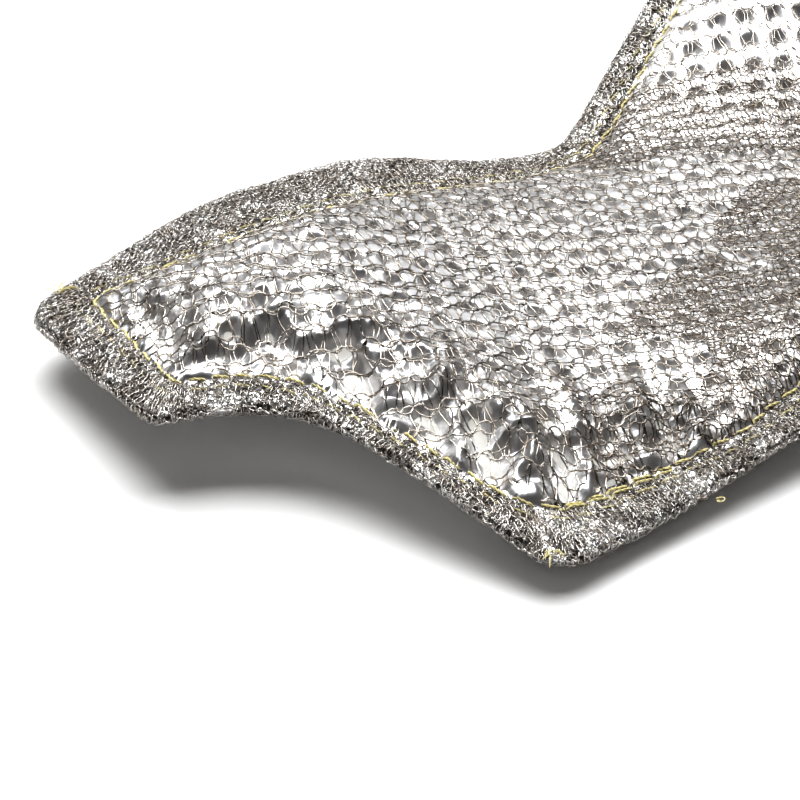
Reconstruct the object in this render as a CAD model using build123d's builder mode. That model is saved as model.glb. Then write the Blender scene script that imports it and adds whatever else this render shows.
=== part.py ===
"""Flexible heat shield pad.

A shaped pad is sewn up from sheets, like a quilt. From the top down it is a knitted wire
mesh, an embossed foil, two plies of fibre mat, a plain back foil and a second wire mesh.
Outside the sewn line the mats stop, the sheets close into a flat hem, and strips of finer
mesh are folded round the edge. The pad is warped: its left tab arches off the table, and
its rear wing slopes up from a crease. Tab and wing bend on two soft hinge lines.

Millimetres, +Z up, X along the embossed rows, origin under the middle of the pad.
"""

import os
from math import cos, pi, radians, sin, tan

from build123d import *

os.makedirs("parts", exist_ok=True)

# Plan, walking round the pad from its tab: each corner is (x, y, fillet radius).
EDGE_CORNERS = {
    "tab_rear": (-78.5, -31.0, 7),
    "tab_front": (-56.5, -61.0, 4.5),
    "scallop": (-40.0, -55.7, 26),
    "front": (-4.5, -83.0, 7),
    "right_front": (66.0, -29.0, 8),
    "right_rear": (72.0, -1.5, 8),
    "right_notch": (59.0, 24.5, 10),
    "wing_right": (79.4, 67.5, 8),
    "wing_left": (35.5, 83.0, 8),
    "left_notch": (3.0, 25.3, 9),
    "rear_bend": (-54.0, -4.0, 45),
}
SEAM_CORNERS = {
    "tab_rear": (-68.5, -30.5, 1.5),
    "tab_front": (-54.6, -52.7, 1.5),
    "scallop": (-38.5, -51.8, 25),
    "front": (-6.7, -73.8, 10),
    "front_dip": (23.5, -54.5, 20),
    "front_rise": (33.0, -44.5, 12),
    "right_front": (58.4, -24.2, 4),
    "right_rear": (63.0, -2.5, 4),
    "right_notch": (49.6, 24.4, 14),
    "wing_right": (67.8, 62.7, 4),
    "wing_left": (36.0, 74.0, 4),
    "left_notch": (7.5, 21.4, 6),
}

# Heights of the middle surface, halfway through the hem.
REST_HEIGHT = 3.75          # hem of a flat stretch, with the belly pressed on the table
TAB_ARCH = 7.8              # extra height over the tab hinge line
TAB_ARCH_LEFT = 80.0        # reach of the arch towards the tab's end
TAB_ARCH_RIGHT = 46.0       # reach of the arch into the panel
FRONT_RIPPLE = 2.4          # extra height of the ripple in the front edge
RIPPLE_X = 36.0
RIPPLE_REACH_X = 24.0
RIPPLE_END_Y = -37.5        # behind this the ripple dies away
RIPPLE_FADE = 40.0
WING_SLOPE = tan(radians(25))
WING_BEND = 8.0             # half the length over which the wing's slope builds up

# Hinge lines.
TAB_HINGE_X = -40.0
WING_HINGE_Y = 26.5
TAB_TRAVEL = (10, 30)       # degrees down, degrees up
WING_TRAVEL = (20, 35)
HINGE_GAP = 0.3             # half the slot left at each hinge line

# Thicknesses, up and down from the middle surface.
MESH = 0.45
FOIL = 0.25
UPPER_MAT = 4.4
LOWER_MAT = 3.2
THREAD = 0.45

# Distances inward from the sewn line.
BINDING_EDGE = 0.45
MESH_CAP = 0.75
FOIL_CAP = MESH_CAP + MESH
MAT_EDGE = FOIL_CAP + FOIL
TACK_ROW = -2.2             # the tack row runs outside the sewn line
FOIL_TRIM = 1.0             # the foils stop this far inside the outer edge

TALL = 80.0                 # taller than the whole pad
DEEP = 10.0                 # how far the cutting outlines reach below the table
GRID_STEP = 12.0
SURFACE_REACH_X = 90.0
SURFACE_REACH_Y = 96.0


def swell(distance, reach):
    """A smooth hump: 1 at distance 0, falling along a cosine to 0 at the reach."""
    part = min(abs(distance) / reach, 1.0)
    return 0.5 * (1 + cos(pi * part))


def middle_height(x, y):
    """Height of the middle surface over the table."""
    side = x - TAB_HINGE_X
    arch = swell(side, TAB_ARCH_RIGHT if side > 0 else TAB_ARCH_LEFT)
    ripple = swell(x - RIPPLE_X, RIPPLE_REACH_X) * swell(max(y - RIPPLE_END_Y, 0), RIPPLE_FADE)
    past_crease = y - WING_HINGE_Y
    if past_crease < -WING_BEND:
        rise = 0.0
    elif past_crease < WING_BEND:
        rise = WING_SLOPE * (past_crease + WING_BEND) ** 2 / (4 * WING_BEND)
    else:
        rise = WING_SLOPE * past_crease
    return REST_HEIGHT + TAB_ARCH * arch + FRONT_RIPPLE * ripple + rise


def steps(reach):
    """Evenly spaced values from -reach to +reach."""
    count = round(2 * reach / GRID_STEP)
    return [-reach + 2 * reach * i / count for i in range(count + 1)]


middle = Face.make_surface_from_array_of_points(
    [[(x, y, middle_height(x, y)) for y in steps(SURFACE_REACH_Y)] for x in steps(SURFACE_REACH_X)],
    min_deg=3,
)


def between(low, high):
    """Everything between two heights over the middle surface, wider than the pad."""
    return extrude(Pos(0, 0, low) * middle, amount=high - low, dir=(0, 0, 1))


def outline(corners, inset=0.0):
    """Flat outline through the corners, drawn in by the inset."""
    places = [(x, y) for x, y, _ in corners.values()]
    radii = [radius for _, _, radius in corners.values()]
    with BuildSketch() as flat:
        with BuildLine():
            FilletPolyline(*places, radius=radii, close=True)
        make_face()
        if inset:
            offset(amount=-inset, mode=Mode.REPLACE)
    return flat.sketch


def sheet(flat, low, high):
    """The outline cut from everything between two heights."""
    slab = between(low, high)
    with BuildPart() as piece:
        add(Pos(0, 0, -DEEP) * flat)
        extrude(amount=TALL)
        add(slab, mode=Mode.INTERSECT)
    return piece.part


def pressed_flat(whole):
    """Cut a sheet level where the pad's weight presses it on the table."""
    with BuildPart() as piece:
        add(whole)
        with Locations((0, 0, -DEEP / 2)):
            Box(2 * SURFACE_REACH_X, 2 * SURFACE_REACH_Y, DEEP, mode=Mode.SUBTRACT)
    return piece.part


def tray(rim, cap, pocket, flange, crown):
    """A sheet with a flat rim and a raised or sunken crown, hollow over the pocket."""
    bottom = min(flange[0], crown[0])
    top = max(flange[1], crown[1])
    raised = crown[1] > flange[1]
    waste = (flange[1], top + 1) if raised else (bottom - 1, flange[0])
    hollow = (bottom - 1, crown[0]) if raised else (crown[1], top + 1)
    blank = sheet(rim, bottom, top)
    shoulder = sheet(table_size - cap, *waste)
    space = sheet(pocket, *hollow)
    with BuildPart() as piece:
        add(blank)
        add(shoulder, mode=Mode.SUBTRACT)
        add(space, mode=Mode.SUBTRACT)
    return piece.part


def hinge_relief(across, travel):
    """Bow-tie slot along a hinge line, open enough above and below for the bend."""
    down, up = travel
    above = HINGE_GAP + TALL * tan(radians(up / 2))
    below = HINGE_GAP + TALL * tan(radians(down / 2))
    with BuildPart() as slot:
        with BuildSketch(across):
            Polygon(
                (-HINGE_GAP, 0),
                (-above, TALL),
                (above, TALL),
                (HINGE_GAP, 0),
                (below, -TALL),
                (-below, -TALL),
                align=None,
            )
        extrude(amount=2 * TALL, both=True)
    return slot.part


tab_hinge_height = middle_height(TAB_HINGE_X, 0)
wing_hinge_height = middle_height(TAB_HINGE_X + TAB_ARCH_RIGHT, WING_HINGE_Y)
tab_relief = hinge_relief(
    Plane(origin=(TAB_HINGE_X, 0, tab_hinge_height), x_dir=(1, 0, 0), z_dir=(0, -1, 0)),
    TAB_TRAVEL,
)
wing_relief = hinge_relief(
    Plane(origin=(0, WING_HINGE_Y, wing_hinge_height), x_dir=(0, 1, WING_SLOPE / 2), z_dir=(1, 0, 0)),
    WING_TRAVEL,
)

with BuildSketch() as table_blank:
    Rectangle(2 * SURFACE_REACH_X - 2, 2 * SURFACE_REACH_Y - 2)
table_size = table_blank.sketch

# A point inside each body, which picks out its share of a cut sheet.
BODY_SPOTS = {
    "tab": (-58, -35, 12),
    "panel": (10, -20, 4),
    "wing": (45, 55, 20),
}

# The middle of each strip of the folded binding.
STRIP_SPOTS = {
    "tab_end_binding": (-67, -46, 10),
    "tab_rear_binding": (-58, -12, 11),
    "tab_front_binding": (-48, -57, 11),
    "panel_scallop_binding": (-22, -67, 8),
    "panel_front_binding": (32, -55, 6),
    "panel_right_binding": (67, -15, 5),
    "panel_notch_binding": (64, 12, 5),
    "panel_rear_binding": (-20, 12, 10),
    "wing_right_binding": (70, 46, 12),
    "wing_end_binding": (57, 75, 28),
    "wing_left_binding": (18, 52, 14),
}
STRIP_CORNERS = ["tab_rear", "tab_front", "front", "right_front", "right_rear", "wing_right", "wing_left"]
STRIP_CUT = 0.1


def save(solid, name):
    """Write one finished piece under its node name."""
    solid.label = name
    export_step(solid, f"parts/{name}.step")


def share_out(whole, name):
    """Cut a sheet at both hinge lines and save the share of each body."""
    with BuildPart() as cut:
        add(whole)
        add(tab_relief, mode=Mode.SUBTRACT)
        add(wing_relief, mode=Mode.SUBTRACT)
    for body, spot in BODY_SPOTS.items():
        with BuildPart() as piece:
            add(cut.part.solids().sort_by_distance(spot)[0])
        save(piece.part, f"{body}_{name}")


# Mats
mat_outline = outline(SEAM_CORNERS, MAT_EDGE)
share_out(sheet(mat_outline, 0, UPPER_MAT), "upper_mat")
share_out(sheet(mat_outline, -LOWER_MAT, 0), "lower_mat")

# Foils
foil_rim = outline(EDGE_CORNERS, FOIL_TRIM)
foil_cap = outline(SEAM_CORNERS, FOIL_CAP)
face_foil = tray(foil_rim, foil_cap, mat_outline, (0, FOIL), (UPPER_MAT, UPPER_MAT + FOIL))
back_foil = tray(foil_rim, foil_cap, mat_outline, (-FOIL, 0), (-LOWER_MAT - FOIL, -LOWER_MAT))
share_out(face_foil, "face_foil")
share_out(back_foil, "back_foil")

# Meshes
mesh_rim = outline(EDGE_CORNERS, MESH)
mesh_cap = outline(SEAM_CORNERS, MESH_CAP)
crown_top = UPPER_MAT + FOIL + MESH
belly = LOWER_MAT + FOIL + MESH
face_mesh = tray(mesh_rim, mesh_cap, foil_cap, (FOIL, FOIL + MESH), (crown_top - MESH, crown_top))
back_mesh = tray(mesh_rim, mesh_cap, foil_cap, (-FOIL - MESH, -FOIL), (-belly, MESH - belly))
share_out(face_mesh, "face_mesh")
share_out(pressed_flat(back_mesh), "back_mesh")

# Folded binding strips round the hem
hem_inside = FOIL + MESH
hem_top = hem_inside + MESH
folded_band = outline(EDGE_CORNERS) - outline(SEAM_CORNERS, BINDING_EDGE)
folded_blank = sheet(folded_band, -hem_top, hem_top)
fold_space = sheet(mesh_rim, -hem_inside, hem_inside)
with BuildPart() as binding:
    add(folded_blank)
    add(fold_space, mode=Mode.SUBTRACT)
    for corner in STRIP_CORNERS:
        outer = Vector(*EDGE_CORNERS[corner][:2])
        inner = Vector(*SEAM_CORNERS[corner][:2])
        reach = outer - inner
        with BuildSketch(Plane(origin=(outer + inner) / 2, x_dir=reach, z_dir=(0, 0, 1))):
            Rectangle(2 * reach.length, STRIP_CUT)
        extrude(amount=TALL, mode=Mode.SUBTRACT)
    add(tab_relief, mode=Mode.SUBTRACT)
    add(wing_relief, mode=Mode.SUBTRACT)
for strip_name, strip_spot in STRIP_SPOTS.items():
    with BuildPart() as strip:
        add(binding.part.solids().sort_by_distance(strip_spot)[0])
    save(strip.part, strip_name)

# Thread rows
sewn_row = outline(SEAM_CORNERS, -THREAD / 2) - outline(SEAM_CORNERS, THREAD / 2)
tack_row = outline(SEAM_CORNERS, TACK_ROW - THREAD / 2) - outline(SEAM_CORNERS, TACK_ROW + THREAD / 2)
share_out(sheet(sewn_row, hem_top, hem_top + THREAD), "needle_thread")
share_out(sheet(sewn_row, -hem_top - THREAD, -hem_top), "bobbin_thread")
share_out(sheet(tack_row, hem_top, hem_top + THREAD), "tack_thread")

# Loose thread ends, each a short straight piece lying on the hem
TAIL_LENGTH = 4.0
TAILS = {
    "panel_thread_tails": [(-7.8, -76.5, -120), (-6.5, -76.5, -95), (-5.2, -76.5, -75)],
    "tab_thread_tails": [(-73.5, -28.0, 60), (-74.5, -29.5, 85)],
}
for tail_name, tails in TAILS.items():
    with BuildPart() as tail_group:
        for x, y, turn in tails:
            end_x = x + TAIL_LENGTH * cos(radians(turn))
            end_y = y + TAIL_LENGTH * sin(radians(turn))
            clear = hem_top + THREAD
            start = Vector(x, y, middle_height(x, y) + clear)
            end = Vector(end_x, end_y, middle_height(end_x, end_y) + clear)
            with BuildSketch(Plane(origin=start, z_dir=end - start)):
                Circle(THREAD / 2)
            extrude(amount=TAIL_LENGTH)
    save(tail_group.part, tail_name)
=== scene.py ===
"""Looks of the flexible heat shield pad: foil, wire mesh, folded hem, stitching and studio stage.

Lengths inside the shape functions are millimetres, and become metres when a mesh is made.
"""

import bpy
import numpy as np
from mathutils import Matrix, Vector


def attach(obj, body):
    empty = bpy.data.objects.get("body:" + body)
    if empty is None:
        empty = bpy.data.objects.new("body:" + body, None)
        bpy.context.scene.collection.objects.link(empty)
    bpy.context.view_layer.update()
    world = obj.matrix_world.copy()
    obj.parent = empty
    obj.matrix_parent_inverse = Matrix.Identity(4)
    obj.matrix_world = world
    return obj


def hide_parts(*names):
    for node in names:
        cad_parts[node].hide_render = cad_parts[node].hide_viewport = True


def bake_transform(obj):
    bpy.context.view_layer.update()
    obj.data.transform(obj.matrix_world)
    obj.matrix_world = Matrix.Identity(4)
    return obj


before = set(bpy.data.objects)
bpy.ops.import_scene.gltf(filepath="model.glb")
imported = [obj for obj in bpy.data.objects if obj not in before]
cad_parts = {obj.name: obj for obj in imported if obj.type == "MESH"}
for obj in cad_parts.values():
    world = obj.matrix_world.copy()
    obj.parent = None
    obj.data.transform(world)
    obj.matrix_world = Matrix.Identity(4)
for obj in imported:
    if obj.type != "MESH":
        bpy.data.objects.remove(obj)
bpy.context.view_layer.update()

bl_info = {
    "name": "Heat shield pad",
    "version": (1, 0, 0),
    "blender": (4, 5, 0),
    "location": "View3D > Sidebar > Heat pad",
    "description": "Builds the foil, wire mesh, hem and stitching of a sewn heat shield pad",
    "category": "Add Mesh",
}

MM = 0.001
TURN = 2 * np.pi
CREASE_Y = 25.0

# Plan of the pad, walking round it from the tab: each corner is (x, y, fillet radius).
EDGE_CORNERS = {
    "tab_rear": (-78.5, -31.0, 7),
    "tab_front": (-56.5, -61.0, 4.5),
    "scallop": (-40.0, -55.7, 26),
    "front": (-4.5, -83.0, 7),
    "right_front": (66.0, -29.0, 8),
    "right_rear": (72.0, -1.5, 8),
    "right_notch": (59.0, 24.5, 10),
    "wing_right": (79.4, 67.5, 8),
    "wing_left": (35.5, 83.0, 8),
    "left_notch": (3.0, 25.3, 9),
    "rear_bend": (-54.0, -4.0, 45),
}
SEAM_CORNERS = {
    "tab_rear": (-68.5, -30.5, 1.5),
    "tab_front": (-54.6, -52.7, 1.5),
    "scallop": (-38.5, -51.8, 25),
    "front": (-6.7, -73.8, 10),
    "front_dip": (23.5, -54.5, 20),
    "front_rise": (33.0, -44.5, 12),
    "right_front": (58.4, -24.2, 4),
    "right_rear": (63.0, -2.5, 4),
    "right_notch": (49.6, 24.4, 14),
    "wing_right": (67.8, 62.7, 4),
    "wing_left": (36.0, 74.0, 4),
    "left_notch": (7.5, 21.4, 6),
}

# Each strip of binding runs between two corners of the edge, with these bodies: a strip with one body is
# attached to it, one with two is baked in place.
STRIPS = {
    "tab_end": ("tab_rear", "tab_front", ("tab",), ["tab_end_binding"]),
    "scallop": ("tab_front", "front", ("panel", "tab"), ["tab_front_binding", "panel_scallop_binding"]),
    "front": ("front", "right_front", ("panel",), ["panel_front_binding"]),
    "right": ("right_front", "right_rear", ("panel",), ["panel_right_binding"]),
    "right_notch": (
        "right_rear",
        "wing_right",
        ("panel", "wing"),
        ["panel_notch_binding", "wing_right_binding"],
    ),
    "wing_end": ("wing_right", "wing_left", ("wing",), ["wing_end_binding"]),
    "wing_left": ("wing_left", "divide", ("panel", "wing"), ["wing_left_binding"]),
    "rear": ("divide", "tab_rear", ("panel", "tab"), ["panel_rear_binding", "tab_rear_binding"]),
}

# The pad's sheets are divided here into two halves, and each half has two bodies.
DIVIDE_X = -6.0
# The steep wall of padding along the front fades out from here.
WALL_END = (3.0, -67.6)
REACH = (96.0, 100.0)
PITCH = 1.0


def unit(vectors):
    """Vectors scaled to length one along the last axis."""
    length = np.linalg.norm(vectors, axis=-1, keepdims=True)
    return vectors / np.maximum(length, 1e-9)


def rounded_outline(corners, step=0.8, arc_points=16):
    """Closed outline with each corner rounded by an arc that touches both sides.

    The arc's centre lies on the corner's bisector at radius / sin(half the corner's angle).
    Returns evenly spaced points, the arc length at each, and the arc length at each corner.
    """
    data = np.array(list(corners.values()), float)
    place, radius = data[:, :2], data[:, 2]
    back = unit(np.roll(place, 1, 0) - place)
    ahead = unit(np.roll(place, -1, 0) - place)
    half = 0.5 * np.arccos(np.clip((back * ahead).sum(1), -1, 1))
    centre = place + unit(back + ahead) * (radius / np.sin(half))[:, None]
    first = place + back * (radius / np.tan(half))[:, None]
    last = place + ahead * (radius / np.tan(half))[:, None]
    start = np.arctan2(*(first - centre).T[::-1])
    sweep = (np.arctan2(*(last - centre).T[::-1]) - start + np.pi) % TURN - np.pi
    angle = start[:, None] + sweep[:, None] * np.linspace(0, 1, arc_points)
    arc = centre[:, None] + radius[:, None, None] * np.stack([np.cos(angle), np.sin(angle)], -1)
    points = arc.reshape(-1, 2)
    closed = np.vstack([points, points[:1]])
    along = np.concatenate([[0], np.cumsum(np.linalg.norm(np.diff(closed, axis=0), axis=1))])
    count = int(round(along[-1] / step))
    even = np.arange(count) * along[-1] / count
    smooth = np.stack([np.interp(even, along, closed[:, i]) for i in (0, 1)], -1)
    middles = along[:-1].reshape(len(data), arc_points).mean(1)
    return smooth, along[-1], dict(zip(corners, middles))


class Outline:
    """A closed line in plan, with its signed distance (positive inside) kept on a raster."""

    def __init__(self, corners):
        self.points, self.length, self.corner_at = rounded_outline(corners)
        self.step = self.length / len(self.points)
        x = np.arange(-REACH[0], REACH[0] + PITCH, PITCH)
        y = np.arange(-REACH[1], REACH[1] + PITCH, PITCH)
        a = self.points
        b = np.roll(a, -1, 0)
        run = b - a
        distance, nearest, inside = [], [], []
        for row in x:
            spot = np.stack([np.full_like(y, row), y], -1)[:, None]
            share = np.clip(((spot - a) * run).sum(-1) / (run * run).sum(-1), 0, 1)
            gap = np.linalg.norm(spot - a - share[..., None] * run, axis=-1)
            best = gap.argmin(1)
            distance.append(gap.min(1))
            nearest.append((best + np.take_along_axis(share, best[:, None], 1)[:, 0]) * self.step)
            crosses = (a[:, 1] > spot[..., 1]) != (b[:, 1] > spot[..., 1])
            rise = np.where(run[:, 1] == 0, 1e-9, run[:, 1])
            at = a[:, 0] + (spot[..., 1] - a[:, 1]) * run[:, 0] / rise
            inside.append((crosses & (spot[..., 0] < at)).sum(1) % 2)
        self.distance = np.array(distance) * np.where(np.array(inside) > 0, 1, -1)
        self.around = np.exp(1j * TURN * np.array(nearest) / self.length)

    def _read(self, raster, x, y):
        """Bilinear reading of a raster at any points."""
        u = np.clip((x + REACH[0]) / PITCH, 0, raster.shape[0] - 1.001)
        v = np.clip((y + REACH[1]) / PITCH, 0, raster.shape[1] - 1.001)
        i, j = u.astype(int), v.astype(int)
        u, v = u - i, v - j
        low = raster[i, j] * (1 - u) + raster[i + 1, j] * u
        high = raster[i, j + 1] * (1 - u) + raster[i + 1, j + 1] * u
        return low * (1 - v) + high * v

    def inside(self, x, y):
        """Distance inwards from the line."""
        return self._read(self.distance, x, y)

    def along(self, x, y):
        """Arc length of the nearest point of the line, read as a turn so that it has no jump."""
        return np.angle(self._read(self.around, x, y)) / TURN * self.length % self.length

    def at(self, s):
        """Point of the line and its inward normal at arc length s."""
        s = np.mod(s, self.length) / self.step
        i = s.astype(int) % len(self.points)
        share = (s - np.floor(s))[..., None]
        ahead = np.roll(self.points, -1, 0)
        point = self.points[i] * (1 - share) + ahead[i] * share
        run = unit(np.roll(self.points, -2, 0) - np.roll(self.points, 2, 0))
        run = unit(run[i] * (1 - share) + np.roll(run, -1, 0)[i] * share)
        return point, np.stack([-run[..., 1], run[..., 0]], -1)


EDGE = Outline(EDGE_CORNERS)
SEAM = Outline(SEAM_CORNERS)


def swell(distance, reach):
    """A smooth hump: 1 at distance 0, falling along a cosine to 0 at the reach."""
    return 0.5 * (1 + np.cos(np.pi * np.minimum(np.abs(distance) / reach, 1)))


def middle(x, y):
    """Height of the surface halfway through the hem: an arch over the tab's neck, a low
    ripple in the front edge, and the wing's slope, which builds up along a parabola."""
    side = x + 40.0
    arch = 7.8 * swell(side, np.where(side > 0, 46.0, 80.0))
    ripple = 2.4 * swell(x - 36.0, 24.0) * swell(np.maximum(y + 37.5, 0), 40.0)
    bend, slope = 8.0, np.tan(np.radians(25))
    past = y - 26.5
    curve = slope * (past + bend) ** 2 / (4 * bend)
    rise = np.where(past < -bend, 0, np.where(past < bend, curve, slope * past))
    return 3.75 + arch + ripple + rise


def zigzag(t):
    """Triangle wave between -1 and 1, with sharp turns."""
    return 4 * np.abs(t - np.floor(t + 0.5)) - 1


def wander(x, y, length, seed):
    """Slow irregular variation about 0: a sum of sines in scattered directions."""
    rng = np.random.default_rng(seed)
    total = 0.0
    for _ in range(5):
        angle, phase = rng.uniform(0, TURN, 2)
        scale = length * rng.uniform(0.7, 1.5)
        total = total + np.sin(TURN * (x * np.cos(angle) + y * np.sin(angle)) / scale + phase)
    return total / 2.2


def facets(x, y, length, seed, folds=5):
    """Crumpled sheet: flat facets that meet in creases, a sum of triangle waves."""
    rng = np.random.default_rng(seed)
    x = x + 0.18 * length * wander(x, y, 3.1 * length, seed + 50)
    y = y + 0.18 * length * wander(x, y, 2.7 * length, seed + 51)
    total = 0.0
    for _ in range(folds):
        angle, phase = rng.uniform(0, np.pi), rng.uniform()
        scale = length * rng.uniform(0.65, 1.6)
        total = total + scale / length * zigzag((x * np.cos(angle) + y * np.sin(angle)) / scale + phase)
    return total / np.sqrt(folds)


def smooth_step(low, high, value):
    """0 below low, 1 above high, with a smooth rise between."""
    t = np.clip((value - low) / (high - low), 0, 1)
    return t * t * (3 - 2 * t)


def from_front(x, y):
    """Distance from the sewn line along the scallop and round the front corner."""
    corners = [SEAM_CORNERS[name][:2] for name in ("tab_front", "scallop", "front")]
    corners = np.array([*corners, WALL_END])
    spot = np.stack([x, y], -1)
    nearest = np.full(np.shape(x), np.inf)
    for a, b in zip(corners[:-1], corners[1:]):
        share = np.clip(((spot - a) * (b - a)).sum(-1) / ((b - a) ** 2).sum(), 0, 1)
        nearest = np.minimum(nearest, np.linalg.norm(spot - a - share[..., None] * (b - a), axis=-1))
    return nearest


def crown(x, y, slack=0.0):
    """Height of the padding's top over the middle surface.

    It climbs from the sewn line along 1 - exp(-distance / reach). Along the front the foil
    first lies low, then climbs a steep wall at the padding's edge to a rounded crest. A net
    stretched over the wall has slack 1: its climb starts nearer to the sewn line.
    """
    d = np.maximum(SEAM.inside(x, y), 0)
    sway = 1.1 * wander(x, y, 17, 5) * smooth_step(0, 5, d)
    away = from_front(x, y) + sway
    gentle = 3.75 * (1 - np.exp(-d / 4.6))
    walled = 0.8 * (1 - np.exp(-d / 1.5)) + 2.95 * smooth_step(4.6 - 3.4 * slack, 11.0, d + sway)
    crest = 0.9 * np.exp(-(((away - 12.5) / (5.0 + slack)) ** 2)) * smooth_step(3 - 2 * slack, 10, d)
    share = smooth_step(19, 13, away)
    soft = 0.22 * smooth_step(0, 8, d) * wander(x, y, 34, 3)
    return 0.75 + gentle * (1 - share) + walled * share + crest + soft


def belly(x, y):
    """Depth of the padding's underside below the middle surface."""
    d = np.maximum(SEAM.inside(x, y), 0)
    return 0.75 + 2.85 * (1 - np.exp(-d / 3.5))


def front_share(x, y):
    """1 on the crumpled front wall, less on the tab, 0 on the calm rear of the panel and the wing."""
    wall = smooth_step(27, 14, from_front(x, y))
    tab = smooth_step(-28, -46, x) * smooth_step(3, 10, SEAM.inside(x, y))
    return np.maximum(wall, 0.8 * tab)


def crumple(x, y):
    """Creases of the foil: gathers that run in from the stitches, and facets between them."""
    d = np.maximum(SEAM.inside(x, y), 0)
    s = SEAM.along(x, y)
    front = front_share(x, y)
    gather = zigzag(s / 4.3 + 0.35 * np.sin(s / 7.0) + 0.04 * d) * np.exp(-d / 4.5) * smooth_step(0, 1.5, d)
    near = np.exp(-(((d - 8.5) / 6.0) ** 2))
    coarse = facets(x, y, 5.4, 11) * (0.03 + 0.45 * front * near + 0.55 * front)
    fine = facets(x, y, 2.6, 12) * (0.012 + 0.07 * front + 0.05 * np.exp(-d / 5))
    return 0.40 * gather * (0.4 + 0.6 * front) + coarse + fine


def dents(x, y, pitch, depth, turn):
    """Embossing: a square grid of rounded dents, each a soft square pyramid pressed down."""
    angle = np.radians(turn - 6.5 * smooth_step(18, 40, y))
    u = (x * np.cos(angle) + y * np.sin(angle)) / pitch + 0.18 * wander(x, y, 60, 21) / pitch
    v = (y * np.cos(angle) - x * np.sin(angle)) / pitch + 0.18 * wander(x, y, 60, 22) / pitch
    u, v = np.abs(u - np.round(u)), np.abs(v - np.round(v))
    away = (u**2.6 + v**2.6) ** (1 / 2.6) / (0.35 + 0.06 * smooth_step(30, 40, y))
    return depth * smooth_step(0, 1, 1.12 * (1 - away))


def foil_top(x, y):
    """Top of the face foil: crown, creases and dents, diving into the hem outside the seam."""
    sizes = bpy.context.scene.heat_pad_sizes
    d = SEAM.inside(x, y)
    crease = np.exp(-(((y - CREASE_Y) / 7.5) ** 2))
    pleats = 0.22 * crease * zigzag(y / 3.3 + 0.2 * wander(x, y, 25, 15))
    pressed = smooth_step(0.5, 5, d) * (1 + 0.15 * front_share(x, y)) * (1 - 0.7 * crease)
    pressed = pressed * dents(x, y, sizes.dent_pitch, sizes.dent_depth, sizes.dent_turn)
    shape = crown(x, y) + crumple(x, y) + pleats - pressed
    return middle(x, y) + np.where(d > 0, shape, 0.75 + 0.35 * np.minimum(d, 0))


def foil_bottom(x, y):
    """Underside of the back foil, with shallow creases."""
    d = np.maximum(SEAM.inside(x, y), 0)
    wrinkle = 0.16 * facets(x, y, 7.0, 31) * smooth_step(0, 3, d) + 0.05 * facets(x, y, 2.4, 32)
    return middle(x, y) - belly(x, y) + 0.25 + np.maximum(wrinkle, -0.2)


def hem_swell(x, y):
    """Half thickness of the hem: rounded at the outer edge, pulled in along the stitches."""
    edge = np.clip(EDGE.inside(x, y), 0, 1.2) / 1.2
    round_off = np.sqrt(np.maximum(1 - (1 - edge) ** 2, 0))
    pinch = 0.25 * np.exp(-((SEAM.inside(x, y) / 0.9) ** 2))
    return round_off * (0.95 - pinch + 0.10 * wander(x, y, 9, 41))


def hem_sway(x, y):
    """Slow unevenness of the whole hem, which fades at the seam."""
    return 0.30 * wander(x, y, 26, 42) * smooth_step(0, 5, -SEAM.inside(x, y))


# ---- Mesh making ----


def make_mesh(name, points, faces, material, normals=None):
    """A smooth mesh object from points in millimetres and a list of face arrays of any width.

    Normals, one for each point, take the place of the mesh's own where they are given.
    """
    faces = [f for f in faces if len(f)]
    corners = np.concatenate([f.ravel() for f in faces])
    sizes = np.concatenate([np.full(len(f), f.shape[1]) for f in faces])
    used, corners = np.unique(corners, return_inverse=True)
    mesh = bpy.data.meshes.new(name)
    mesh.vertices.add(len(used))
    mesh.vertices.foreach_set("co", (points[used] * MM).astype(np.float32).ravel())
    mesh.loops.add(len(corners))
    mesh.loops.foreach_set("vertex_index", corners.astype(np.int32))
    mesh.polygons.add(len(sizes))
    starts = np.concatenate([[0], np.cumsum(sizes)[:-1]])
    mesh.polygons.foreach_set("loop_start", starts.astype(np.int32))
    mesh.polygons.foreach_set("loop_total", sizes.astype(np.int32))
    mesh.polygons.foreach_set("use_smooth", np.full(len(sizes), True))
    mesh.materials.append(material)
    mesh.update()
    mesh.validate()
    if normals is not None:
        mesh.normals_split_custom_set_from_vertices(normals[used])
    piece = bpy.data.objects.new(name, mesh)
    bpy.context.scene.collection.objects.link(piece)
    return piece


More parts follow.
